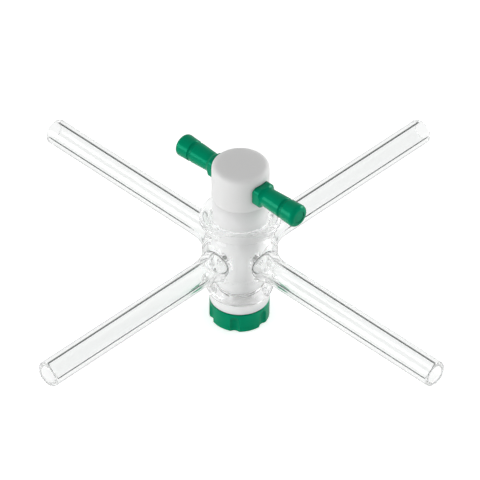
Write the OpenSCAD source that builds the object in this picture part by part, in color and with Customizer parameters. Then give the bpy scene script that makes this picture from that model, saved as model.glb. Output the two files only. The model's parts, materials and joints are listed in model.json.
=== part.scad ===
// Four-way glass stopcock: a blown glass body with four arms in one plane, a
// tapered PTFE plug with two angled passages, a handle in two halves through
// the plug's head, and a washer, O-ring and nut that hold the plug in its seat.
// The origin is the middle of the nut's underside. +Z runs up the plug, and
// +X runs along the handle and one pair of arms.

/* [Arms] */
// Outside diameter of the arm tubing
arm_d = 8; // [7:0.1:9.6]
// Wall of the arm tubing
arm_wall = 1.35; // [1:0.05:1.8]
// Length of each arm, from the plug's axis to its end
arm_len = 80; // [45:1:120]
// Distance from the barrel's wall at which the fused root reaches the tube size
root_reach = 8.7; // [7:0.1:11]
// Radius of the long concave curve by which an arm swells into its root
root_curve = 12; // [11:0.1:14]

/* [Seat] */
// Large diameter of the taper seat
seat_d = 14.5; // [12.5:0.1:17.6]
// Diameter lost for each millimetre down the seat, one part in five
taper = 0.2; // [0.17:0.01:0.24]
// Height of the seat's large end over the arms' plane
seat_top = 11.4; // [9.5:0.1:12]
// Diameter of the passages through the plug and the barrel wall
passage_d = 2.5; // [2:0.1:3]
// Distance from the axis at which the two legs of a passage meet
passage_apex = 2.6; // [2.2:0.1:3]

/* [Barrel] */
// Depth of the ground lower end under the arms' plane
barrel_bottom = 14.9; // [13:0.1:18]
// Height of the flange's top over the arms' plane
barrel_top = 13.95; // [13.5:0.1:16.5]
// Wall of the barrel round the seat's large end
barrel_wall = 0.65; // [0.5:0.05:1.6]
// Distance by which the flange round the mouth stands out from the barrel
flange_out = 4.45; // [3.4:0.05:6.5]
// Thickness of the flange, whose rim is fully rounded
flange_t = 2.9; // [2.4:0.1:3.2]
// Distance by which the bead round the lower end stands out from the barrel
bead_out = 2.3; // [1.9:0.05:4]
// Thickness of that bead, whose rim is fully rounded
bead_t = 3; // [2.4:0.1:3.4]
// Radius of the concave curves from the barrel to the flange and the bead
neck_curve = 2.6; // [1.6:0.1:3]

/* [Plug] */
// Step on the radius from the neck out to the head
head_step = 0.3; // [0.2:0.05:2]
// Height of the head's underside over the arms' plane
head_bottom = 21; // [19.5:0.1:25]
// Height of the head
head_h = 12.1; // [11.5:0.1:15]
// Radius round the head's top edge
head_edge = 1.6; // [0.8:0.1:2.4]
// Radius round the head's lower edge
head_foot = 0.5; // [0.3:0.1:1]
// Step on the radius from the seat's large end out to the neck
neck_step = 1.1; // [0.6:0.05:1.2]
// Diameter of the threaded stem
stem_d = 7; // [6.4:0.1:7.6]
// Pitch of the stem's thread
stem_pitch = 1.5; // [1:0.25:2]
// Distance from the axis to the flat on the stem
stem_flat = 2.8; // [2.5:0.1:3]

/* [Handle] */
// Length of the handle from tip to tip
handle_len = 48.8; // [42:0.2:62]
// Height of the handle's axis over the head's underside
handle_z = 5.9; // [5:0.1:7]
// Width of the square collar that bears on the head
collar_w = 6.7; // [6.4:0.1:9]
// Distance by which the collar stands out from the head
collar_out = 1.6; // [1.2:0.1:3]
// Diameter of the bar next to its collar
bar_d = 6; // [5.4:0.1:6.4]
// Diameter of the bar at its tip
tip_d = 7.2; // [6.6:0.1:8]
// Width of the rounded ring groove in the bar
groove_w = 1.4; // [0.8:0.1:2]
// Distance from that groove's middle to the tip
groove_back = 5.6; // [4.5:0.1:8]
// Diameter of the shank that passes through the head
shank_d = 5.6; // [4.8:0.1:6]
// Diameter of the pin that joins the two halves
pin_d = 3; // [2.4:0.1:3.4]
// Reach of that pin past the plug's axis
pin_len = 7; // [5:0.5:9]

/* [Nut and washer] */
// Thickness of the washer
washer_t = 3.5; // [3:0.1:4.5]
// Diameter of the washer
washer_d = 18.2; // [17:0.1:21]
// Thickness of the O-ring's section
oring_t = 1.8; // [1.4:0.1:2]
// Diameter of the nut
nut_d = 18.3; // [17:0.1:21]
// Height of the nut
nut_h = 6.7; // [5.8:0.1:8.5]
// Number of finger flutes round the nut
flutes = 6; // [5:1:8]
// Radius of each flute, and of the ball that ends it at the top
flute_r = 2; // [1.6:0.1:2.6]
// Depth of each flute
flute_depth = 0.8; // [0.5:0.1:1.1]
// Height of the plain rim over the flutes
nut_rim = 1; // [0.6:0.1:1.6]

/* [Hidden] */
// Clearance on the radius of every running fit and joined pair
run = 0.05;
// Gap between two flat faces that turn on each other or meet
face_gap = 0.05;
// Length by which a cutting tool runs past what it cuts
past = 1;
// Amount by which a concave arc cuts into what it meets, so that they never meet at a bare point
overlap = 0.004;
// Fullness of the round forms
round_fn = 96;

// Colours of the three materials
glass_tint = [0.86, 0.93, 0.9, 0.4];
white = [0.95, 0.95, 0.93];
green = [0, 0.55, 0.38];

arm_r = arm_d / 2;
bore_r = arm_r - arm_wall;
// Radius of the polished edges, inside and out, at an arm's end
arm_edge = arm_wall * 0.4;
barrel_r = seat_d / 2 + barrel_wall;
flange_r = barrel_r + flange_out;
bead_r = barrel_r + bead_out;
neck_r = seat_d / 2 + neck_step;
head_r = neck_r + head_step;
stem_r = stem_d / 2;
// Depth of the stem's round thread, which the chamfer at the stem's end takes off
thread_depth = stem_pitch * 0.4;
nut_r = nut_d / 2;
passage_r = passage_d / 2;
pin_r = pin_d / 2;
// Hole through the head, which the two shanks share
cross_r = shank_d / 2;

// Gap between the mouth and the plug's neck, and the height over which the seat opens out to it
mouth_gap = 0.35;
mouth_h = 1.4;
// Radius round the mouth's edge, and the chamfer at the seat's lower end
mouth_edge = 0.5;
seat_chamfer = 0.3;
// Distance from the plug's axis to where the root meets the tube
root_len = barrel_r + root_reach;
// Distances from the plug's axis between which the narrow hole opens out to the arm's bore
cone_start = barrel_r + 1.7;
cone_end = root_len + 4;
// Distance by which the plug's taper stops short of the glass at the lower end
draw_up = 1;
// Distance from the stem's end up to the surface that the nut stands on
stem_inset = 0.9;
// Corner radius of the handle's collar, and the concave curve by which it runs out into the bar
collar_corner = 1.9;
collar_curve = 1.6;
// Depth of the ring groove, edge radius of the tip, and the shallow dish in the tip
groove_depth = 0.4;
tip_edge = 1.3;
dish_r = 1.9;
dish_depth = 0.15;
// Extra depth of the socket past the pin's end
socket_spare = 0.5;
// Gap round the O-ring in its recess
ring_gap = 0.1;
// Wall round the nut's bore, skin behind the flutes, and depth and ribs of the moulded hollow
nut_boss = 1.7;
nut_skin = 1.4;
core_depth = 3.8;
rib_w = 0.9;
// Chamfer on the nut's outer edges and at the ends of its bore
nut_edge = 0.25;
// Chamfer on the washer's outer edges
washer_edge = 0.25;
// Angle of the first flute from +X
flute_start = 5.5;

// Heights over the arms' plane
seat_end = -barrel_bottom + draw_up;
washer_z = -barrel_bottom - face_gap - washer_t;
nut_z = washer_z - face_gap - nut_h;
handle_axis = head_bottom + handle_z;
ring_in = stem_r + ring_gap;

// Radius of the seat at a height over the arms' plane
function seat_r(z) = seat_d / 2 - taper / 2 * (seat_top - z);

// Lifts what is drawn round the arms' plane, so that the nut stands at zero
module standing() {
    translate([0, 0, -nut_z]) children();
}

// Half outline of a rounded rim and of the concave curve that leads into it from the barrel.
// rim_r is the rim's outer radius, t its thickness, z its middle, and side is 1 up or -1 down.
module rim_profile(rim_r, t, z, side) {
    crown_r = t / 2;
    crown_x = rim_r - crown_r;
    curve_x = barrel_r + neck_curve;
    rise = sqrt(pow(neck_curve + crown_r, 2) - pow(curve_x - crown_x, 2));
    curve_z = z + side * rise;
    translate([crown_x, z]) circle(r = crown_r, $fn = 48);
    difference() {
        polygon([[barrel_r - past, z], [crown_x, z], [curve_x, curve_z], [barrel_r - past, curve_z]]);
        translate([curve_x, curve_z]) circle(r = neck_curve + overlap, $fn = 64);
    }
}

// The barrel's outside: a thick wall, the flange round the mouth and the bead at the lower end
module barrel_outside() {
    rotate_extrude($fn = round_fn) {
        translate([0, -barrel_bottom]) square([barrel_r, barrel_bottom + barrel_top]);
        translate([0, -barrel_bottom]) square([bead_r - bead_t / 2, bead_t]);
        translate([0, barrel_top - flange_t]) square([flange_r - flange_t / 2, flange_t]);
        rim_profile(flange_r, flange_t, barrel_top - flange_t / 2, -1);
        rim_profile(bead_r, bead_t, bead_t / 2 - barrel_bottom, 1);
    }
}

// One arm's outside along +X: the tube with its fire-polished end, and the root, a trumpet whose
// long curve runs on into those of its two neighbours. The wedge keeps each arm to its own
// quarter, so that the four roots meet on the diagonals.
module arm_outside() {
    inner = root_len - root_curve;
    intersection() {
        rotate([0, 90, 0]) rotate_extrude($fn = round_fn) {
            translate([0, inner]) square([arm_r, arm_len - arm_edge - inner]);
            translate([0, inner]) square([arm_r - arm_edge, arm_len - inner]);
            translate([arm_r - arm_edge, arm_len - arm_edge]) circle(r = arm_edge, $fn = 48);
            difference() {
                translate([0, inner]) square([arm_r + root_curve, root_len - inner]);
                translate([arm_r + root_curve, root_len]) circle(r = root_curve + overlap, $fn = 160);
            }
        }
        linear_extrude(height = 2 * (barrel_bottom - bead_t), center = true)
            polygon([[0, 0], [arm_len + past, arm_len + past], [arm_len + past, -arm_len - past]]);
    }
}

// What is open inside one arm, along +X from the plug's axis
module arm_bore() {
    rotate([0, 90, 0]) rotate_extrude($fn = round_fn) {
        polygon([
            [0, 0],
            [passage_r, 0],
            [passage_r, cone_start],
            [bore_r, cone_end],
            [bore_r, arm_len + past],
            [0, arm_len + past]
        ]);
        difference() {
            translate([0, arm_len - arm_edge]) square([bore_r + arm_edge, arm_edge + past]);
            translate([bore_r + arm_edge, arm_len - arm_edge]) circle(r = arm_edge + overlap, $fn = 48);
        }
    }
}

// What is open inside the barrel: the ground taper and the wider mouth over it
module seat_bore() {
    mouth_r = neck_r + mouth_gap;
    foot_r = seat_r(-barrel_bottom) + seat_chamfer;
    rotate_extrude($fn = round_fn) {
        polygon([
            [0, -barrel_bottom - past],
            [foot_r, -barrel_bottom - past],
            [foot_r, -barrel_bottom],
            [seat_r(-barrel_bottom + seat_chamfer), -barrel_bottom + seat_chamfer],
            [seat_d / 2, seat_top],
            [mouth_r, seat_top + mouth_h],
            [mouth_r, barrel_top + past],
            [0, barrel_top + past]
        ]);
        difference() {
            translate([0, barrel_top - mouth_edge]) square([mouth_r + mouth_edge, mouth_edge + past]);
            translate([mouth_r + mouth_edge, barrel_top - mouth_edge])
                circle(r = mouth_edge + overlap, $fn = 32);
        }
    }
}

// The whole glass: barrel and arms are fused into one piece
module glass_body() {
    color(glass_tint) standing() difference() {
        union() {
            barrel_outside();
            for (turn = [0 : 90 : 270]) rotate([0, 0, turn]) arm_outside();
        }
        seat_bore();
        for (turn = [0 : 90 : 270]) rotate([0, 0, turn]) arm_bore();
    }
}

// One leg of a passage, drilled from the seat at the arm on +X to the turn at [x, y]
module passage_leg(x, y) {
    run_out = seat_d / 2;
    slope = atan2(y, x - seat_r(0));
    translate([x, y, 0]) rotate([0, 0, slope + 180]) rotate([0, 90, 0])
        cylinder(r = passage_r, h = run_out, $fn = 48);
}

// One passage: two legs that meet beside the plug's axis, so that it joins two neighbouring arms
module passage() {
    side = passage_apex / sqrt(2);
    translate([side, side, 0]) sphere(r = passage_r, $fn = 48);
    passage_leg(side, side);
    mirror([1, -1, 0]) passage_leg(side, side);
}

// The plug: head, neck, taper and threaded stem turned as one, with two passages
module plug() {
    stem_end = nut_z + stem_inset;
    head_top = head_bottom + head_h;
    color(white) standing() difference() {
        rotate_extrude($fn = round_fn) {
            polygon([
                [0, stem_end],
                [stem_r - thread_depth, stem_end],
                [stem_r, stem_end + thread_depth],
                [stem_r, seat_end],
                [seat_r(seat_end) - run, seat_end],
                [seat_d / 2 - run, seat_top],
                [neck_r, seat_top + mouth_h],
                [neck_r, head_bottom],
                [head_r - head_foot, head_bottom],
                [head_r - head_foot, head_bottom + head_foot],
                [head_r, head_bottom + head_foot],
                [head_r, head_top - head_edge],
                [head_r - head_edge, head_top - head_edge],
                [head_r - head_edge, head_top],
                [0, head_top]
            ]);
            translate([head_r - head_edge, head_top - head_edge]) circle(r = head_edge, $fn = 64);
            translate([head_r - head_foot, head_bottom + head_foot]) circle(r = head_foot, $fn = 32);
        }
        translate([0, 0, handle_axis]) rotate([0, 90, 0])
            cylinder(r = cross_r, h = 2 * (head_r + past), center = true, $fn = 64);
        for (turn = [0, 180]) rotate([0, 0, turn]) passage();
        translate([stem_flat, -stem_d, nut_z]) cube([stem_d, 2 * stem_d, seat_end - nut_z]);
    }
}

// Rounded square of the collar, drawn across the handle's axis
module collar_outline() {
    flat = collar_w / 2 - collar_corner;
    square([collar_w, 2 * flat], center = true);
    square([2 * flat, collar_w], center = true);
    for (x = [-flat, flat], y = [-flat, flat]) translate([x, y]) circle(r = collar_corner, $fn = 48);
}

// Collar and bar of one half of the handle, along +X from the head's surface. The square collar
// and the round bar are cut from one turned form, so that the concave curve between them runs out
// on the collar's flats.
module handle_grip() {
    tip = handle_len / 2;
    bar_r = bar_d / 2;
    tip_r = tip_d / 2;
    collar_s = head_r + collar_out;
    bar_s = collar_s + collar_curve;
    flare_r = bar_r + collar_curve;
    groove_s = tip - groove_back;
    // radius of the bar at the groove, and of the round cutter that makes the groove
    groove_r = bar_r + (tip_r - bar_r) * (groove_s - bar_s) / (tip - tip_edge - bar_s);
    cutter_r = (pow(groove_w / 2, 2) + pow(groove_depth, 2)) / (2 * groove_depth);
    intersection() {
        rotate([0, 90, 0]) linear_extrude(height = bar_s + past) collar_outline();
        rotate([0, 90, 0]) rotate_extrude($fn = round_fn) difference() {
            square([flare_r, bar_s]);
            translate([flare_r, bar_s]) circle(r = collar_curve + overlap, $fn = 64);
        }
    }
    rotate([0, 90, 0]) rotate_extrude($fn = round_fn) difference() {
        union() {
            polygon([
                [0, collar_s],
                [bar_r, collar_s],
                [bar_r, bar_s],
                [tip_r, tip - tip_edge],
                [tip_r - tip_edge, tip - tip_edge],
                [tip_r - tip_edge, tip],
                [0, tip]
            ]);
            translate([tip_r - tip_edge, tip - tip_edge]) circle(r = tip_edge, $fn = 64);
        }
        translate([groove_r - groove_depth + cutter_r, groove_s]) circle(r = cutter_r, $fn = 48);
        translate([0, tip - dish_depth]) square([dish_r, dish_depth + past]);
    }
}

// One half of the handle along +X: the grip, scooped to the head, and the shank inside the head
module handle_half() {
    difference() {
        handle_grip();
        translate([0, 0, -collar_w]) cylinder(r = head_r + face_gap, h = 2 * collar_w, $fn = round_fn);
    }
    rotate([0, 90, 0]) translate([0, 0, face_gap / 2])
        cylinder(r = cross_r - run, h = head_r + collar_out - face_gap, $fn = 64);
}

// The half that carries the pin which holds the two together
module handle_pin_half() {
    color(green) standing() translate([0, 0, handle_axis]) {
        handle_half();
        translate([-pin_len, 0, 0]) rotate([0, 90, 0]) cylinder(r = pin_r, h = pin_len + past, $fn = 48);
    }
}

// The half whose shank is the socket for that pin
module handle_socket_half() {
    color(green) standing() translate([0, 0, handle_axis]) rotate([0, 0, 180]) difference() {
        handle_half();
        translate([-past, 0, 0]) rotate([0, 90, 0])
            cylinder(r = pin_r + run, h = pin_len + socket_spare + past, $fn = 48);
    }
}

// Washer that the stem's flat keeps from turning, with the O-ring's recess in its underside
module washer() {
    recess_r = ring_in + oring_t + ring_gap;
    color(white) standing() translate([0, 0, washer_z]) difference() {
        rotate_extrude($fn = round_fn) polygon([
            [0, 0],
            [washer_d / 2 - washer_edge, 0],
            [washer_d / 2, washer_edge],
            [washer_d / 2, washer_t - washer_edge],
            [washer_d / 2 - washer_edge, washer_t],
            [0, washer_t]
        ]);
        translate([0, 0, -past]) linear_extrude(height = washer_t + 2 * past) difference() {
            circle(r = stem_r + run, $fn = 64);
            translate([stem_flat + run, -stem_d]) square([stem_d, 2 * stem_d]);
        }
        translate([0, 0, -past]) cylinder(r = recess_r, h = oring_t + face_gap + past, $fn = 64);
    }
}

// Elastic ring that keeps the nut's pull on the plug
module o_ring() {
    color([0.9, 0.9, 0.88]) standing() translate([0, 0, washer_z + oring_t / 2]) rotate_extrude($fn = 64)
        translate([ring_in + oring_t / 2, 0]) circle(r = oring_t / 2, $fn = 32);
}

// Moulded nut: finger flutes outside, a plain rim over them, and a hollow with ribs underneath
module nut() {
    bore = stem_r + run;
    boss_r = bore + nut_boss;
    core_r = nut_r - flute_depth - nut_skin;
    // height at which a flute's ball starts, so that the flute runs out under the plain rim
    flute_end = nut_h - nut_rim - sqrt(pow(flute_r, 2) - pow(flute_r - flute_depth, 2));
    color(green) standing() translate([0, 0, nut_z]) difference() {
        rotate_extrude($fn = round_fn) polygon([
            [bore + nut_edge, 0],
            [nut_r - nut_edge, 0],
            [nut_r, nut_edge],
            [nut_r, nut_h - nut_edge],
            [nut_r - nut_edge, nut_h],
            [bore + nut_edge, nut_h],
            [bore, nut_h - nut_edge],
            [bore, nut_edge]
        ]);
        for (k = [0 : flutes - 1]) rotate([0, 0, flute_start + k * 360 / flutes])
            translate([nut_r + flute_r - flute_depth, 0, flute_end]) {
                sphere(r = flute_r, $fn = 48);
                translate([0, 0, -flute_end - past])
                    cylinder(r = flute_r, h = flute_end + past, $fn = 48);
            }
        difference() {
            translate([0, 0, -past]) cylinder(r = core_r, h = core_depth + past, $fn = 64);
            translate([0, 0, -2 * past]) cylinder(r = boss_r, h = core_depth + 4 * past, $fn = 64);
            for (k = [0 : flutes - 1]) rotate([0, 0, flute_start + k * 360 / flutes])
                translate([0, -rib_w / 2, -2 * past]) cube([nut_r, rib_w, core_depth + 4 * past]);
        }
    }
}

glass_body();
plug();
handle_pin_half();
handle_socket_half();
washer();
o_ring();
nut();
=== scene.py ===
# %% [markdown]
# # A four-way glass stopcock
# Four glass tubes meet in a blown hub. A white plug turns in the hub's taper seat and joins
# neighbouring tubes. A green bar handle turns the plug, and a washer, an elastic ring and a
# green nut under the hub keep it in its seat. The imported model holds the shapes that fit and
# move. This lesson gives them their surfaces, remakes the two pieces that need finer forms,
# and sets up the light and the camera.

# %% Load the frame
import json
import math

import bmesh
import bpy
import numpy as np
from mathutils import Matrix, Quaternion, Vector


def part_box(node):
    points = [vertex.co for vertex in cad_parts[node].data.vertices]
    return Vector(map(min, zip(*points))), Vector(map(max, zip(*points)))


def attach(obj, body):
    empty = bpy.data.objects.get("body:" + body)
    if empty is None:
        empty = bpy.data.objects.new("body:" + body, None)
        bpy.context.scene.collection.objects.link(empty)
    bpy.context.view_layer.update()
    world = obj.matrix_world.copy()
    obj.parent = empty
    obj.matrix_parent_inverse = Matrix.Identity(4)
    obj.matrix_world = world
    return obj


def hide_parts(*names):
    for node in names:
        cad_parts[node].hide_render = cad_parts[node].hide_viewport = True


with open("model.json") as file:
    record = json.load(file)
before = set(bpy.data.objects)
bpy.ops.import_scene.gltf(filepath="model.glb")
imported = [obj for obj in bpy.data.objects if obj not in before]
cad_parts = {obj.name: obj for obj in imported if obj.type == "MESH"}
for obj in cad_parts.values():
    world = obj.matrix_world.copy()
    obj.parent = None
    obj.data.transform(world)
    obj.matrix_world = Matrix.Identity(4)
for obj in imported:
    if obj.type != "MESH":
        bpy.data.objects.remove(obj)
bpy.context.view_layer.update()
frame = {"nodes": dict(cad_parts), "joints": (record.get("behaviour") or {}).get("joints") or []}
scene = bpy.context.scene
mm = 0.001
hub = Vector(next(joint["pos_m"] for joint in frame["joints"] if joint["name"] == "key_turn"))

# %% [markdown]
# ## Node trees as plain Python
# A finish is a sum of small patterns, and each pattern is a number that varies from place to
# place. Wiring Math nodes by hand hides such a sum, so one class wraps a socket and lets
# Python's own operators add the nodes. The same class serves materials, the world and Geometry
# Nodes, because all three know the Math node.

# %% Field
class Field:
    """One number or vector that varies from place to place, held as a socket in a node tree."""

    def __init__(self, tree, socket):
        self.tree = tree
        self.socket = socket

    def math(self, operation, *values):
        """A Math node on these values, each a Field or a plain number."""
        node = self.tree.nodes.new("ShaderNodeMath")
        node.operation = operation
        for slot, value in zip(node.inputs, values):
            if isinstance(value, Field):
                self.tree.links.new(value.socket, slot)
            else:
                slot.default_value = value
        return Field(self.tree, node.outputs[0])

    def __add__(self, other):
        return self.math("ADD", self, other)

    def __radd__(self, other):
        return self.math("ADD", other, self)

    def __sub__(self, other):
        return self.math("SUBTRACT", self, other)

    def __rsub__(self, other):
        return self.math("SUBTRACT", other, self)

    def __mul__(self, other):
        return self.math("MULTIPLY", self, other)

    def __rmul__(self, other):
        return self.math("MULTIPLY", other, self)

    def __truediv__(self, other):
        return self.math("DIVIDE", self, other)

    def smaller(self, other):
        return self.math("MINIMUM", self, other)

    def larger(self, other):
        return self.math("MAXIMUM", self, other)

    def below(self, limit):
        """1 where this number is under the limit, and 0 elsewhere."""
        return self.math("LESS_THAN", self, limit)

    def absolute(self):
        return self.math("ABSOLUTE", self)

    def root(self):
        return self.math("SQRT", self)

    def cosine(self):
        return self.math("COSINE", self)

    def sine(self):
        return self.math("SINE", self)


def blend(share, low, high):
    """low where share is 0, high where it is 1, and a number between them elsewhere."""
    return low + (high - low) * share


print("Field ready: its operators add the Math nodes")

# %% [markdown]
# The Math node covers the sums. Every other node comes from one method, which takes the node's
# type, its settings and what goes into its sockets. Settings come first, because some of them
# change which sockets the node has. The short methods after it name the nodes that the
# finishes use again and again. The Mix node keeps its sockets for colours at places 6 and 7, and
# gives the mixed colour at place 2.

# %% Tree
color_a, color_b, mixed_color = 6, 7, 2


class Tree:
    """A node tree of a material, of the world or of a Geometry Nodes modifier."""

    def __init__(self, tree):
        self.tree = tree
        self.tree.nodes.clear()

    def add(self, kind, settings=None, sockets=None, output=0):
        """Adds a node, sets its settings, then its sockets, and returns one output as a Field."""
        node = self.tree.nodes.new(kind)
        for name, value in (settings or {}).items():
            setattr(node, name, value)
        for name, value in (sockets or {}).items():
            slot = node.inputs[name]
            if isinstance(value, Field):
                self.tree.links.new(value.socket, slot)
            else:
                slot.default_value = value
        return Field(self.tree, node.outputs[output]) if node.outputs else node

    def split(self, vector):
        """The X, Y and Z of a vector as three Fields."""
        node = self.add("ShaderNodeSeparateXYZ", sockets={"Vector": vector}).socket.node
        return [Field(self.tree, output) for output in node.outputs]

    def smooth(self, value, low, high, start=0.0, end=1.0):
        """Goes from start to end without a kink as value goes from low to high."""
        return self.add("ShaderNodeMapRange", {"interpolation_type": "SMOOTHSTEP"}, {
            "Value": value, "From Min": low, "From Max": high, "To Min": start, "To Max": end})

    def noise(self, vector, scale):
        """A noise between about 0 and 1. Its scale is the number of waves in a metre."""
        return self.add("ShaderNodeTexNoise", sockets={"Vector": vector, "Scale": scale})

    def mix_color(self, share, first, second):
        """The first colour where share is 0 and the second where it is 1."""
        return self.add("ShaderNodeMix", {"data_type": "RGBA"}, {
            "Factor": share, color_a: first, color_b: second}, output=mixed_color)

    def bump(self, height, depth):
        """The normal of a surface on which a height of 1 stands as high as depth, in metres."""
        return self.add("ShaderNodeBump", sockets={
            "Height": height, "Distance": depth, "Strength": 1.0})

    def ray(self, fact):
        """What the Light Path node knows of the ray that asks for the colour."""
        return self.add("ShaderNodeLightPath", output=fact)

    def show(self, shader):
        """Makes a shader the one that the material shows."""
        self.add("ShaderNodeOutputMaterial", sockets={"Surface": shader})


def material(name):
    """A new material with an empty node tree, and that tree."""
    made = bpy.data.materials.new(name)
    made.use_nodes = True
    return made, Tree(made.node_tree)


print("Tree ready: one method adds every other node")

# %% [markdown]
# ## Camera
# The object is seen along the diagonal between two arms, from well above. A short lens up close
# would spread the arms, so a long lens stands far off and keeps them almost parallel, as a
# product view usually has them. The small turn about the line of sight levels the pair of arms
# on the left with the pair on the right.

# %% Camera
view_azimuth = math.radians(44.2)
view_elevation = math.radians(40.2)
view_roll = math.radians(0.5)
view_distance = 1.5
view_depth = 20
shown_width = 144.1 * mm
sensor_width = 36
aim_rise = 2.78 * mm

to_camera = Vector((
    math.sin(view_azimuth) * math.cos(view_elevation),
    -math.cos(view_azimuth) * math.cos(view_elevation),
    math.sin(view_elevation),
))
to_right = Vector((math.cos(view_azimuth), math.sin(view_azimuth), 0))
to_top = to_camera.cross(to_right)
aim = hub + aim_rise * to_top

lens = bpy.data.cameras.new("lens")
lens.sensor_width = sensor_width
lens.lens = sensor_width * view_distance / shown_width
lens.clip_end = view_depth
camera = bpy.data.objects.new("camera", lens)
scene.collection.objects.link(camera)
camera.location = aim + view_distance * to_camera
camera.rotation_mode = "QUATERNION"
camera.rotation_quaternion = to_camera.to_track_quat("Z", "Y") @ Quaternion((0, 0, 1), view_roll)
scene.camera = camera
print("lens", round(lens.lens, 1), "mm at", view_distance, "m")

# %% [markdown]
# ## A white place to see through
# Clear glass has no colour of its own: it shows its surroundings, bent and squeezed. White
# surroundings make it vanish but for thin edges. Strong lamps could make them white, but they
# would wash out the plug. So the floor and the world are white only for rays that see them
# directly, through glass or in a mirror. Rays that gather the light on a matt surface, which
# have a diffuse depth of 1 or more, see a dimmer room.

# %% Which rays see the background itself
def seen_directly(tree):
    """1 for rays that show the background as it is: to the camera, in a mirror or through glass."""
    seen = tree.ray("Is Camera Ray")
    for kind in ("Is Glossy Ray", "Is Transmission Ray"):
        seen = seen.larger(tree.ray(kind))
    return seen * tree.ray("Diffuse Depth").below(1)


print("rays sorted by the Light Path node")

# %% [markdown]
# The floor is a matt white sheet that still takes the object's shadow. A little glow, seen only
# by those direct rays, lifts it to the white of the world behind it. A surface that mirrors the
# floor before any glass is passed sees a darker one, as over a real sheet that runs off into
# shade. That keeps the green deep and gives each tube a thin grey outline.

# %% Floor
floor_size = 8.0
floor_albedo = 0.86
floor_glow = 0.6
floor_glow_in_glass = 0.48
floor_bounce = 0.35
floor_in_mirror = 0.4
pure_white = (1, 1, 1, 1)
pure_black = (0, 0, 0, 1)

bpy.ops.mesh.primitive_plane_add(size=floor_size, location=(0, 0, 0))
floor = bpy.context.object
floor.name = "floor"
floor_paper, paper = material("floor_paper")
shown_glow = blend(paper.ray("Is Camera Ray"), floor_glow_in_glass, floor_glow)
matt = paper.add("ShaderNodeBsdfDiffuse", sockets={"Color": (floor_albedo,) * 3 + (1,)})
glow = paper.add("ShaderNodeEmission", sockets={
    "Color": pure_white, "Strength": blend(seen_directly(paper), floor_bounce, shown_glow)})
lit_paper = paper.add("ShaderNodeAddShader", sockets={0: matt, 1: glow})
unlit_paper = paper.add("ShaderNodeBsdfDiffuse", sockets={"Color": pure_black})
mirrored_first = paper.ray("Is Glossy Ray") * paper.ray("Transmission Depth").below(1)
paper.show(paper.add("ShaderNodeMixShader", sockets={
    0: mirrored_first * (1 - floor_in_mirror), 1: lit_paper, 2: unlit_paper}))
floor.data.materials.append(floor_paper)
print("floor", floor_size, "m square")

# %% [markdown]
# The world is white round the horizon and overhead, and a shade greyer in between, where a
# studio has its dark gaps between the lamps. Glass picks those gaps up as soft grey lines. A
# mirrored or bent ray sees the room darker still, so the lamps stand out in every gloss.

# %% World
room_light = 0.48
room_light_in_glass = 0.75
room_in_mirror = 0.45
gap_shade = 0.75
gap_low = (0.05, 0.4)
gap_high = (0.55, 0.85)

world = bpy.data.worlds.new("studio")
world.use_nodes = True
scene.world = world
studio = Tree(world.node_tree)
height = studio.split(studio.add("ShaderNodeTexCoord", output="Generated"))[2]
gaps = studio.smooth(height, *gap_low, 1.0, gap_shade).larger(studio.smooth(height, *gap_high))
shaded = gaps * blend(studio.ray("Is Glossy Ray"), 1, room_in_mirror)
seen = blend(studio.ray("Is Camera Ray"), shaded, 1)
lit = blend(studio.ray("Is Transmission Ray"), room_light, room_light_in_glass)
backdrop = studio.add("ShaderNodeBackground", sockets={
    "Color": pure_white, "Strength": blend(seen_directly(studio), lit, seen)})
studio.add("ShaderNodeOutputWorld", sockets={"Surface": backdrop})
print("room light", room_light)

# %% [markdown]
# Two large soft lamps stand low at the left and at the right. Lamps near the camera would light
# the white pieces flat. These stand beside the object, the right one a little behind it, so the
# stretch between them, right of the middle, is the darkest and rounds the head and the neck.

# %% Lamps
lamp_distance = 1.2
lamp_size = (0.9, 0.7)
to_front = Vector((to_camera.x, to_camera.y, 0)).normalized()


def soft_lamp(name, right, front, up, power):
    """A rectangular lamp that points at the hub from a direction given by three parts."""
    towards = right * to_right + front * to_front + up * Vector((0, 0, 1))
    light = bpy.data.lights.new(name, "AREA")
    light.shape = "RECTANGLE"
    light.size, light.size_y = lamp_size
    light.energy = power
    lamp = bpy.data.objects.new(name, light)
    scene.collection.objects.link(lamp)
    lamp.location = hub + lamp_distance * towards.normalized()
    lamp.rotation_mode = "QUATERNION"
    lamp.rotation_quaternion = towards.to_track_quat("Z", "Y")
    print(name, power, "W")


soft_lamp("key_lamp", right=-1.0, front=0.3, up=0.15, power=6.8)
soft_lamp("fill_lamp", right=1.0, front=-0.45, up=0.15, power=7.8)

# %% [markdown]
# A ray that enters the hub passes wall after wall and is mirrored many times inside them. One
# that runs out of bounces ends black, and the glass fills with black wedges. A high limit costs
# little here, because most rays leave the glass long before they reach it.

# %% Bounces and view
glass_bounces = 72

scene.view_settings.view_transform = "Standard"
scene.cycles.max_bounces = glass_bounces
scene.cycles.transmission_bounces = glass_bounces
scene.cycles.glossy_bounces = glass_bounces
print("up to", glass_bounces, "bounces")

# %% [markdown]
# ## Clear glass
# The Principled shader at full transmission bends light as borosilicate glass does. A drawn tube
# isn't perfectly even and the flame-worked hub is less so, which real glass shows as small bends
# in what is seen through it. Moving the mesh for this would need far more points, so a bump of a
# few thousandths of a millimetre does it: one noise stretched along each arm, and slow ripples
# that are strongest in the hub.

# %% Glass and its unevenness
glass_index = 1.47
glass_tint = (0.97, 0.978, 0.974, 1)
draw_scale = 700
draw_stretch = 0.03
arm_switch = 1.0 * mm
ripple_scale = 260
ripple_hub = (14.0 * mm, 20.0 * mm)
ripple_gain = 3.5
glass_bump = 0.006 * mm

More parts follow.
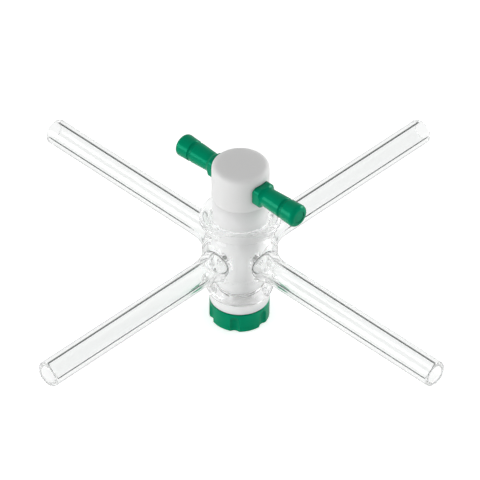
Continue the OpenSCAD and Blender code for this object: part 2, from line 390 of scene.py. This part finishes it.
clear_glass, glass = material("clear_glass")
place = glass.add("ShaderNodeTexCoord", output="Object")
x, y, z = glass.split(place)
on_x_arm = glass.smooth(x.absolute() - y.absolute(), -arm_switch, arm_switch)
lengthwise = glass.add("ShaderNodeCombineXYZ", sockets={
    "X": x * blend(on_x_arm, 1, draw_stretch),
    "Y": y * blend(on_x_arm, draw_stretch, 1),
    "Z": z})
drawn = glass.noise(lengthwise, draw_scale)
reach = x.absolute().larger(y.absolute())
ripples = glass.noise(place, ripple_scale) * glass.smooth(reach, *ripple_hub, ripple_gain, 1.0)
clear = glass.add("ShaderNodeBsdfPrincipled", sockets={
    "Base Color": glass_tint, "Roughness": 0.0, "IOR": glass_index, "Transmission Weight": 1.0,
    "Normal": glass.bump(drawn + ripples, glass_bump)})
print("glass bends light by an index of", glass_index)

# %% [markdown]
# Where a bore is seen at the angle at which its wall starts to mirror, a real tube shows a thin
# dark line. The shader would find it too, but only with far more samples, so the material draws
# it. Layer Weight gives the angle of view, and a band of it is mixed with a dark, matt shader.
# Two attributes of the mesh say where that may happen: on a bore, and on the ring where a bore's
# bulb turns in to its end. Lamps' shadow rays pass straight through, because glass casts hardly
# any shadow in soft light.

# %% Dark lines in the glass
line_color = (0.03, 0.045, 0.04, 1)
line_rise = (0.23, 0.25)
line_fall = (0.277, 0.308)
line_depth = 0.88
shadow_tint = (0.97, 0.97, 0.97, 1)

angle = glass.add("ShaderNodeLayerWeight", sockets={"Blend": 0.5}, output="Facing")
from_inside = glass.add("ShaderNodeNewGeometry", output="Backfacing")
bore_here = glass.add("ShaderNodeAttribute", {"attribute_name": "on_bore"}, output="Fac")
ring_here = glass.add("ShaderNodeAttribute", {"attribute_name": "on_ring"}, output="Fac")
band = glass.smooth(angle, *line_rise) * glass.smooth(angle, *line_fall, 1.0, 0.0)
first_wall = glass.ray("Transmission Depth").below(2)
line = (band * from_inside * bore_here).larger(ring_here) * first_wall * line_depth
dark_line = glass.add("ShaderNodeBsdfDiffuse", sockets={"Color": line_color})
lined = glass.add("ShaderNodeMixShader", sockets={0: line, 1: clear, 2: dark_line})
way_through = glass.add("ShaderNodeBsdfTransparent", sockets={"Color": shadow_tint})
glass.show(glass.add("ShaderNodeMixShader", sockets={
    0: glass.ray("Is Shadow Ray"), 1: lined, 2: way_through}))
print("glass finish with", len(glass.tree.nodes), "nodes")

# %% [markdown]
# ## White fluoropolymer
# The plug and the washer are turned from waxy white bar. Light goes a few millimetres into it,
# which softens its shading, so the shader has subsurface scattering, the same for all colours.
# The lathe leaves fine rings: they follow height on a side and distance from the axis on a flat
# end, and one sum of both covers the two. A slow mottle varies the colour and the sheen. The head,
# above a sharp edge, is painted a little greyer than the rest: painted shade, which stands in for
# the extra light that the glass flange and the floor throw up onto the neck below it.

# %% White fluoropolymer
white_color = (0.97, 0.97, 0.965, 1)
white_shade = (0.93, 0.93, 0.92, 1)
# Painted shade: a greyer white for the head, against the brighter neck below it that gets more light
# from the glass and the floor.
head_painted_shade = (0.84, 0.84, 0.835, 1)
head_low = 46.2 * mm
head_edge = 0.1 * mm
white_roughness = (0.42, 0.58)
scatter_depth = 2.0 * mm
ring_pitch = 0.22 * mm
ring_depth = 0.004 * mm
ring_share = 0.5
ring_least = 0.5
mottle_scale = 180
grain_scale = 2600
patch_edges = (0.3, 0.7)

white_fluoropolymer, white = material("white_fluoropolymer")
place = white.add("ShaderNodeTexCoord", output="Object")
x, y, z = white.split(place)
from_axis = (x * x + y * y).root()
mottle = white.noise(place, mottle_scale)
grain = white.noise(place, grain_scale)
rings = ((z + from_axis) * (2 * math.pi / ring_pitch)).sine() * (ring_least + mottle)
# Painted shade: this share lays the greyer white on the head above its lower edge.
in_head = white.smooth(z, head_low - head_edge, head_low + head_edge)
tone = white.mix_color(white.smooth(mottle, *patch_edges), white_color, white_shade)
tone = white.mix_color(in_head, tone, head_painted_shade)
white.show(white.add("ShaderNodeBsdfPrincipled", sockets={
    "Base Color": tone, "Roughness": blend(mottle, *white_roughness), "Specular IOR Level": 0.35,
    "Subsurface Weight": 1.0, "Subsurface Scale": scatter_depth, "Subsurface Radius": (1, 1, 1),
    "Normal": white.bump(rings * ring_share + grain, ring_depth)}))
print("rings every", ring_pitch / mm, "mm")

# %% [markdown]
# ## Green plastic
# The handle and the nut are moulded. A mould gives them an even, silky skin: an orange peel that
# can only be felt, small changes of colour along the flow of the melt, and a sheen that is
# broader where the skin is rougher. The sheen itself is tinted, so that it doesn't grey the
# colour. Grooves and corners get painted shade, a deeper green laid into the colour where little
# light reaches. Painting that shade by hand would miss some, so the Ambient Occlusion node finds
# the corners. It fades out at the floor, which it would take for a corner.

# %% Green plastic
green_color = (0.0, 0.295, 0.145, 1)
green_shade = (0.0, 0.265, 0.128, 1)
# Painted shade: the deep green laid into grooves and corners where little light reaches.
green_painted_shade = (0.0, 0.085, 0.05, 1)
green_gloss = (0.0, 0.9, 0.5, 1)
green_roughness = (0.1, 0.2)
corner_reach = 2.3 * mm
corner_edges = (0.5, 0.97)
corner_samples = 6
off_floor = (0.5 * mm, 2.5 * mm)
flow_scale = 140
peel_scale = 1500
peel_depth = 0.006 * mm

green_plastic, green = material("green_plastic")
place = green.add("ShaderNodeTexCoord", output="Object")
flow = green.noise(place, flow_scale)
peel = green.noise(place, peel_scale)
openness = green.add("ShaderNodeAmbientOcclusion", {"samples": corner_samples}, {
    "Distance": corner_reach}, output="AO")
above_floor = green.smooth(green.split(place)[2], *off_floor)
# Painted shade: a share of 1 where the Ambient Occlusion node finds a corner, fading out near the
# floor.
corner = green.smooth(openness, *corner_edges, 1.0, 0.0) * above_floor
tone = green.mix_color(green.smooth(flow, *patch_edges), green_color, green_shade)
tone = green.mix_color(corner, tone, green_painted_shade)
green.show(green.add("ShaderNodeBsdfPrincipled", sockets={
    "Base Color": tone, "Roughness": blend(flow, *green_roughness), "Specular IOR Level": 0.4,
    "Specular Tint": green_gloss, "Normal": green.bump(peel, peel_depth)}))
print("green", green_color[:3])

# %% [markdown]
# ## Elastic ring
# The ring under the washer is a soft, cloudy white rubber. It is duller than the washer, and has
# a dusting of fine grain from its powder.

# %% White rubber
rubber_color = (0.78, 0.78, 0.76, 1)
rubber_shade = (0.70, 0.70, 0.67, 1)
rubber_roughness = (0.55, 0.7)
powder_scale = 3000
powder_depth = 0.01 * mm

white_rubber, rubber = material("white_rubber")
place = rubber.add("ShaderNodeTexCoord", output="Object")
cloud = rubber.noise(place, flow_scale)
powder = rubber.noise(place, powder_scale)
tone = rubber.mix_color(rubber.smooth(cloud, *patch_edges), rubber_color, rubber_shade)
rubber.show(rubber.add("ShaderNodeBsdfPrincipled", sockets={
    "Base Color": tone, "Roughness": blend(powder, *rubber_roughness), "Specular IOR Level": 0.3,
    "Normal": rubber.bump(powder, powder_depth)}))
print("rubber", rubber_color[:3])

# %% [markdown]
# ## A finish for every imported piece
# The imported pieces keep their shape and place. Each only gets its finish, in the slots of its
# own object. The glass and the plug are remade further on, and get theirs as well, so that no
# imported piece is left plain.

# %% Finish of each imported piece
node_finish = {
    "glass_body": clear_glass,
    "plug": white_fluoropolymer,
    "washer": white_fluoropolymer,
    "o_ring": white_rubber,
    "handle_pin_half": green_plastic,
    "handle_socket_half": green_plastic,
    "nut": green_plastic,
}
for name, finish in node_finish.items():
    node = frame["nodes"][name]
    node.data.materials.clear()
    node.data.materials.append(finish)
print("finished", len(node_finish), "nodes")

# %% [markdown]
# ## The blown glass as one formula
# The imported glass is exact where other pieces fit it, but its roots meet in creases. A glassblower
# fuses them, so every inner corner is a soft curve. Bevels can't follow such creases, and
# sculpting would lose the round bores. A distance formula keeps both: it is below zero in the
# glass and above zero outside, and two shapes join with a rounded corner in one line, as a cut
# does.

# %% Rounded joins
def round_union(a, b, radius):
    """Distance to either of two shapes, with their inner corner filled to a radius."""
    inner_corner = np.hypot(np.maximum(radius - a, 0), np.maximum(radius - b, 0))
    return np.maximum(radius, np.minimum(a, b)) - inner_corner


def round_cut(a, b, radius):
    """Distance to what two shapes share, with its outer corner rounded to a radius."""
    return -round_union(-a, -b, radius)


print("a join fills its corner by", round(-round_union(0.0, 0.0, 1.0), 2), "of its radius")

# %% [markdown]
# The outside is a barrel with a rounded flange on top and a rounded bead below, and four arms
# that swell like trumpets where they meet it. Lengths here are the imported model's own, and the
# formula's origin is the middle of the hub. Only a stub of each arm is in the formula.

# %% Outside of the glass
arm_r = 4.0 * mm
root_len = 16.6 * mm
root_curve = 12.0 * mm
root_core = 7.6 * mm
barrel_r = 7.9 * mm
barrel_low = -14.9 * mm
barrel_high = 13.95 * mm
flange_r, flange_t = 12.35 * mm, 2.9 * mm
bead_r, bead_t = 10.2 * mm, 3.0 * mm
neck_curve = 2.6 * mm
fuse_curve = 1.2 * mm
stub_len = 26.0 * mm
end_polish = 0.55 * mm


def rim(rho, z, radius, thickness, middle):
    """A disc with a fully rounded edge."""
    return np.hypot(np.maximum(rho - radius + thickness / 2, 0), z - middle) - thickness / 2


def arm_outside(along, across):
    """A tube whose wall swings out in one long curve towards the barrel."""
    along = np.maximum(along, root_core)
    swell = root_curve - np.hypot(root_len - along, arm_r + root_curve - across)
    in_root = np.maximum(swell, across - arm_r - root_curve)
    return np.where(along < root_len, in_root, across - arm_r)


def outside(x, y, z):
    """Distance to the glass as if nothing were open inside it."""
    rho = np.hypot(x, y)
    barrel = np.maximum(rho - barrel_r, np.maximum(z - barrel_high + flange_t, barrel_low + bead_t - z))
    flange = rim(rho, z, flange_r, flange_t, barrel_high - flange_t / 2)
    bead = rim(rho, z, bead_r, bead_t, barrel_low + bead_t / 2)
    barrel = round_union(round_union(barrel, flange, neck_curve), bead, neck_curve)
    arms = round_union(
        arm_outside(np.abs(x), np.hypot(y, z)), arm_outside(np.abs(y), np.hypot(x, z)), fuse_curve)
    arms = round_cut(arms, np.maximum(np.abs(x), np.abs(y)) - stub_len, end_polish)
    return round_union(barrel, arms, fuse_curve)


print("arms", arm_r / mm, "mm in radius, flange", flange_r / mm, "mm")

# %% [markdown]
# Inside are the ground seat and, in each arm, a bore that opens into a small blown bulb at the
# root before a narrow hole leads into the seat. The seat is made a hair narrower than the real
# one: the white taper then touches the glass with no film of air between them, as the ground
# surfaces do when the plug is pressed home, and shows through it white and clear.

# %% Inside of the glass
seat_top, seat_r_top = 11.4 * mm, 7.25 * mm
seat_taper = 0.1
seat_deep = 30.0 * mm
seat_contact = 0.07 * mm
mouth_low, mouth_r = 12.8 * mm, 8.7 * mm
bore_r = 2.65 * mm
hole_r = 1.25 * mm
hole_edge = 0.3 * mm
bulb_len = 15.0 * mm
bulb_start = 6.0 * mm
bulb_curve = 16.0 * mm
bulb_wall = 8.6 * mm
bulb_edge = 2.0 * mm
edge_polish = 0.4 * mm


def arm_inside(along, across, rho):
    """A tube's bore, the bulb that it opens into and the hole that leads on into the seat."""
    into_bulb = np.clip(bulb_len - along, 0, bulb_len - bulb_start)
    bulb_r = bore_r + bulb_curve - np.sqrt(bulb_curve ** 2 - into_bulb ** 2)
    bulb = round_cut(across - bulb_r, bulb_wall - rho, bulb_edge)
    return round_union(bulb, across - hole_r, hole_edge)


def bores_inside(x, y, z):
    """What is open inside the four arms."""
    rho = np.hypot(x, y)
    return np.minimum(
        arm_inside(np.abs(x), np.hypot(y, z), rho), arm_inside(np.abs(y), np.hypot(x, z), rho))


def seat_inside(x, y, z):
    """The ground taper and the mouth that it opens out to."""
    heights = [seat_top - seat_deep, seat_top, mouth_low]
    seat_r = np.interp(z, heights, [seat_r_top - seat_taper * seat_deep, seat_r_top, mouth_r])
    return np.hypot(x, y) - seat_r + np.where(z < seat_top, seat_contact, 0)


def inside(x, y, z):
    """Distance to everything that is open inside the glass."""
    return np.minimum(seat_inside(x, y, z), bores_inside(x, y, z))


def glass_distance(points):
    """Distance to the glass, with every edge between its outside and its inside fire-polished."""
    return round_cut(outside(*points), -inside(*points), edge_polish)


print("bores", bore_r / mm, "mm in radius, holes", hole_r / mm, "mm")

# %% [markdown]
# ## From formula to mesh
# The formula is measured on a grid of small cells. Marching cubes could mesh it, with many thin
# triangles. Here a cell that the surface passes through gets one point, in the middle of the
# surface's crossings of its edges, and each grid edge that the surface crosses gets one quad,
# which joins the points of the four cells round it. This gives even quads and a closed surface,
# and NumPy does all cells at once.

# %% Points where the surface crosses the grid
def cell_part(values, cells, start):
    """The grid's values at one corner of every cell."""
    window = tuple(slice(first, first + count) for first, count in zip(start, cells))
    return values[window]


def cell_points(values, grid, cells, cell, mixed):
    """One point for each cell in mixed: the mean of the crossings on its twelve edges."""
    total = np.zeros((3, mixed.sum()))
    crossings = np.zeros(mixed.sum())
    for axis in range(3):
        for side in ((0, 0), (0, 1), (1, 0), (1, 1)):
            start = list(side)
            start.insert(axis, 0)
            end = list(side)
            end.insert(axis, 1)
            low = cell_part(values, cells, start)[mixed]
            high = cell_part(values, cells, end)[mixed]
            crossed = (low < 0) != (high < 0)
            share = np.where(crossed, low / np.where(crossed, low - high, 1), 0)
            for direction in range(3):
                at = cell_part(grid[direction], cells, start)[mixed]
                at = at + (share * cell if direction == axis else 0)
                total[direction] += np.where(crossed, at, 0)
            crossings += crossed
    return total / crossings


print("each cell on the surface gets one point")

# %% [markdown]
# A quad has to face the air. Its four cells are taken in one turning order, and the order is
# reversed where the grid edge runs from air into glass. About the Y axis the two other axes come
# in the opposite hand, so there the two cases change places.

# %% Quads round each crossed grid edge
def edge_quads(solid, cells, number):
    """For each grid edge between glass and air, a quad that faces the air."""
    quads = []
    for axis in range(3):
        others = [direction for direction in range(3) if direction != axis]
        edge = [slice(0, count) if direction == axis else slice(1, count)
                for direction, count in enumerate(cells)]
        beyond = list(edge)
        beyond[axis] = slice(1, cells[axis] + 1)
        around = []
        for step in ((-1, -1), (0, -1), (0, 0), (-1, 0)):
            part = list(edge)
            for direction, shift in zip(others, step):
                part[direction] = slice(1 + shift, cells[direction] + shift)
            around.append(number[tuple(part)])
        faces = np.stack(around, -1)
        leaves = solid[tuple(edge)] & ~solid[tuple(beyond)]
        enters = ~solid[tuple(edge)] & solid[tuple(beyond)]
        if axis == 1:
            leaves, enters = enters, leaves
        quads += [faces[leaves], faces[enters][:, ::-1]]
    return np.concatenate(quads)


print("each crossed grid edge gets one quad")

# %% [markdown]
# The grid takes in the whole hub and the stubs, with a few spare cells round them, so that the
# surface never runs out of the grid and stays closed. Smaller cells would follow the tightest
# edges more closely, but with many more triangles. The next step makes up for most of that,
# because it puts every point on the formula itself.

# %% Net of the glass
def surface_net(distance, low, counts, cell):
    """Points and quads of the surface at which distance is zero."""
    axes = [start + cell * np.arange(count) for start, count in zip(low, counts)]
    grid = np.array(np.meshgrid(*axes, indexing="ij"))
    values = distance(grid)
    solid = values < 0
    cells = tuple(count - 1 for count in counts)
    corners = [cell_part(solid, cells, (i, j, k)) for i in (0, 1) for j in (0, 1) for k in (0, 1)]
    mixed = np.logical_or.reduce(corners) & ~np.logical_and.reduce(corners)
    number = np.full(cells, -1)
    number[mixed] = np.arange(mixed.sum())
    return cell_points(values, grid, cells, cell, mixed), edge_quads(solid, cells, number)


cell = 0.36 * mm
margin_cells = 2
layers_below = 1.9
spare_layers = 5

half_count = int(stub_len / cell) + margin_cells
side_count = 2 * half_count + 1
layer_count = int((barrel_high - barrel_low) / cell) + spare_layers
low_corner = (-half_count * cell, -half_count * cell, barrel_low - layers_below * cell)
points, quads = surface_net(glass_distance, low_corner, (side_count, side_count, layer_count), cell)
print("net of", len(quads), "quads on cells of", cell / mm, "mm")

# %% [markdown]
# The points of a net lie near the surface, not on it. A few steps along the formula's own slope
# put them there, and that slope is also the exact normal of the surface, far smoother than one
# worked out from the faces. Refraction shows every flaw in a normal, so this matters here.

# %% Settle the points on the surface
slope_reach = 0.01 * mm
normal_reach = 0.08 * mm
settle_steps = 4
least_slope = 0.3


def slope(points, reach):
    """How fast the distance grows along X, Y and Z at each point."""
    return np.array([
        glass_distance(points + reach * axis) - glass_distance(points - reach * axis)
        for axis in np.eye(3)[:, :, None]
    ]) / (2 * reach)


for _ in range(settle_steps):
    direction = slope(points, slope_reach)
    step = glass_distance(points) / np.maximum((direction ** 2).sum(0), least_slope)
    points = points - np.clip(step, -cell / 2, cell / 2) * direction
normals = slope(points, normal_reach)
normals /= np.linalg.norm(normals, axis=0)
print("off the formula by at most", np.abs(glass_distance(points)).max() / mm, "mm")

# %% [markdown]
# Each point notes, as a number from 0 to 1, whether it lies on a bore away from the hub or near
# the end of a bulb, which is where the dark lines of the glass finish may show. It also notes how
# near it is to the ring where a bulb's side turns in to its end. Those rings are seen as a pair
# of dark arcs beside the white column. The mesh will keep both numbers as attributes, which the
# finish reads by name.

# %% Where the dark lines may show
line_start, line_full = 15.0 * mm, 19.0 * mm
bulb_line_full, bulb_line_end = 10.0 * mm, 12.0 * mm
end_clear = 1.5 * mm
inner_slack = 0.02 * mm
ring_rho = 9.6 * mm
ring_width = 0.25 * mm
ring_clear = 2 * hole_r

far_out = np.maximum(np.abs(points[0]), np.abs(points[1]))
is_inner = -inside(*points) >= outside(*points) - inner_slack
is_bore = is_inner & (bores_inside(*points) < seat_inside(*points))
in_tube = np.interp(far_out, [line_start, line_full, stub_len - end_clear, stub_len], [0, 1, 1, 0])
in_bulb = np.interp(far_out, [bulb_line_full, bulb_line_end], [1, 0])
on_bore = is_bore * np.maximum(in_tube, in_bulb)
from_arm_axis = np.minimum(np.hypot(points[1], points[2]), np.hypot(points[0], points[2]))
from_ring = (np.hypot(points[0], points[1]) - ring_rho) / ring_width
on_ring = is_bore * (from_arm_axis > ring_clear) * np.exp(-from_ring ** 2)
print(int((on_bore > 0).sum()), "points on the bores")

# %% [markdown]
# The arms are plain tubes outside the hub, so the formula covers only short stubs. Their ends are
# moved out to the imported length, and one row of long quads spans the plain stretch. The normals
# of the formula go into the mesh as custom normals.

# %% Glass body
stretch_from = 22.5 * mm

arm_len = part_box("glass_body")[1].x
for axis in (0, 1):
    is_far = np.abs(points[axis]) > stretch_from
    points[axis] += np.where(is_far, np.sign(points[axis]) * (arm_len - stub_len), 0)
points[2] += hub.z

mesh = bpy.data.meshes.new("blown_glass")
mesh.from_pydata(points.T.tolist(), [], quads.tolist())
mesh.shade_smooth()
mesh.normals_split_custom_set_from_vertices(normals.T.tolist())
for name, values in (("on_bore", on_bore), ("on_ring", on_ring)):
    mesh.attributes.new(name, "FLOAT", "POINT").data.foreach_set("value", values.astype(np.float32))
mesh.materials.append(clear_glass)
blown_glass = bpy.data.objects.new("blown_glass", mesh)
scene.collection.objects.link(blown_glass)
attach(blown_glass, "glass")
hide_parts("glass_body")
print("blown glass", len(mesh.vertices), "points, reaches", round(arm_len / mm, 1), "mm")

# %% [markdown]
# ## A threaded stem
# The nut climbs a thread on the plug's stem. A profile swept along a helix would need its ends
# trimmed to the stem. A thread is also a surface that repeats by a rule, so Geometry Nodes make
# it whole, from a flat grid that is wrapped round the axis. The sizes are named inputs, so the
# same tree would cut another screw.

# %% Sizes of the thread
thread_sizes = {
    "Crest radius": 3.5 * mm,
    "Thread depth": 0.6 * mm,
    "Pitch": 1.5 * mm,
    "Lower end": 0.9 * mm,
    "Upper end": 12.3 * mm,
    "Run-out": 1.9 * mm,
    "Flat distance": 2.8 * mm,
}

threading = bpy.data.node_groups.new("threading", "GeometryNodeTree")
thread = Tree(threading)
threading.interface.new_socket("Geometry", in_out="OUTPUT", socket_type="NodeSocketGeometry")
for name in thread_sizes:
    threading.interface.new_socket(name, in_out="INPUT", socket_type="NodeSocketFloat")
sizes = thread.add("NodeGroupInput").socket.node
crest, cut, pitch, lower, upper, run_out, flat = [
    Field(threading, sizes.outputs[name]) for name in thread_sizes]
print("thread inputs", ", ".join(thread_sizes))

# %% [markdown]
# The grid is one metre square about its middle, so half a metre is added to give each point's
# share of the height and of the turn. Its distance from the axis follows the height less the
# turn, which gives the thread, and fades to the crest at the run-out. Near the lower end it is at
# most the root's radius and the height above that end, which gives a chamfer. The first and the
# last row shrink to a point and close the ends, the rows between them share the height, and the
# flat is a limit on X.

# %% Tree that wraps a grid into a threaded stem
thread_rows = 126
thread_sides = 72
grid_size = 1.0
grid_middle = 0.5
seam_reach = 0.002 * mm

grid = thread.add("GeometryNodeMeshGrid", sockets={
    "Size X": grid_size, "Size Y": grid_size,
    "Vertices X": thread_rows, "Vertices Y": thread_sides + 1})
grid_x, grid_y, _ = thread.split(thread.add("GeometryNodeInputPosition"))
row = (grid_x + grid_middle) * (thread_rows - 1)
share = ((row - 1) / (thread_rows - 3)).larger(0.0).smaller(1.0)
rise = blend(share, lower, upper)
turn = (grid_y + grid_middle) * (-2 * math.pi)
wave = 0.5 - 0.5 * ((rise / pitch + grid_y) * (2 * math.pi)).cosine()
fade = ((upper - rise) / run_out).smaller(1.0)
radius = (crest - cut * wave * fade).smaller(crest - cut + rise - lower)
closed = row.smaller(thread_rows - 1 - row).smaller(1.0).larger(0.0)
wrapped = thread.add("ShaderNodeCombineXYZ", sockets={
    "X": (radius * turn.cosine() * closed).smaller(flat),
    "Y": radius * turn.sine() * closed,
    "Z": rise})
shaped = thread.add("GeometryNodeSetPosition", sockets={"Geometry": grid, "Position": wrapped})
merged = thread.add("GeometryNodeMergeByDistance", sockets={
    "Geometry": shaped, "Distance": seam_reach})
real = thread.add("GeometryNodeRealizeInstances", sockets={"Geometry": merged})
painted = thread.add("GeometryNodeSetMaterial", sockets={
    "Geometry": real, "Material": white_fluoropolymer})
thread.add("NodeGroupOutput", sockets={"Geometry": painted})
print("thread tree with", len(threading.nodes), "nodes")

# %% [markdown]
# The tree runs as a modifier on an empty mesh. Its sizes are set by the identifiers of the named
# inputs before anything is worked out, and the evaluated result is then kept as a plain mesh.

# %% Threaded stem
def evaluated_mesh(thing):
    """The mesh that an object's modifiers make."""
    bpy.context.view_layer.update()
    return bpy.data.meshes.new_from_object(thing.evaluated_get(bpy.context.evaluated_depsgraph_get()))


stem = bpy.data.objects.new("threaded_stem", bpy.data.meshes.new("threaded_stem"))
scene.collection.objects.link(stem)
wrap = stem.modifiers.new("wrap", "NODES")
wrap.node_group = threading
for item in threading.interface.items_tree:
    if item.in_out == "INPUT":
        wrap[item.identifier] = thread_sizes[item.name]
stem_mesh = evaluated_mesh(stem)
stem.modifiers.remove(wrap)
stem.data = stem_mesh
print("stem", len(stem_mesh.polygons), "faces")

# %% [markdown]
# ## Plug with its thread
# The rest of the plug is right as packed, so it isn't built again. A copy of it has its doubled
# points merged, loses its plain stem, and gets the hole closed.

# %% Plug without its plain stem
stem_reach = 3.6 * mm
weld_reach = 0.001 * mm
shoulder_slack = 0.01 * mm

plug_mesh = frame["nodes"]["plug"].data.copy()
form = bmesh.new()
form.from_mesh(plug_mesh)
bmesh.ops.remove_doubles(form, verts=form.verts, dist=weld_reach)
shoulder = min(vert.co.z for vert in form.verts if math.hypot(vert.co.x, vert.co.y) > stem_reach)
plain_stem = [face for face in form.faces if all(
    math.hypot(vert.co.x, vert.co.y) < stem_reach and vert.co.z < shoulder + shoulder_slack
    for vert in face.verts)]
bmesh.ops.delete(form, geom=plain_stem, context="FACES")
open_edges = [edge for edge in form.edges if edge.is_boundary]
bmesh.ops.holes_fill(form, edges=open_edges, sides=0)
bmesh.ops.recalc_face_normals(form, faces=form.faces)
form.to_mesh(plug_mesh)
form.free()
print("plug shoulder at", round(shoulder / mm, 2), "mm,", len(plain_stem), "faces taken off")

# %% [markdown]
# The threaded stem reaches a little way up inside the plug, and a Boolean makes one closed skin
# of the two. Only edges as sharp as those that the lathe leaves are shaded sharp.

# %% Plug with its thread
sharp_angle = math.radians(32)

turned_plug = bpy.data.objects.new("turned_plug", plug_mesh)
scene.collection.objects.link(turned_plug)
join = turned_plug.modifiers.new("join", "BOOLEAN")
join.operation = "UNION"
join.solver = "EXACT"
join.object = stem
joined = evaluated_mesh(turned_plug)
turned_plug.modifiers.remove(join)
turned_plug.data = joined
bpy.data.objects.remove(stem)
joined.materials.clear()
joined.materials.append(white_fluoropolymer)
joined.shade_smooth()
joined.set_sharp_from_angle(angle=sharp_angle)
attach(turned_plug, "key")
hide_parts("plug")
print("turned plug", len(joined.polygons), "faces")
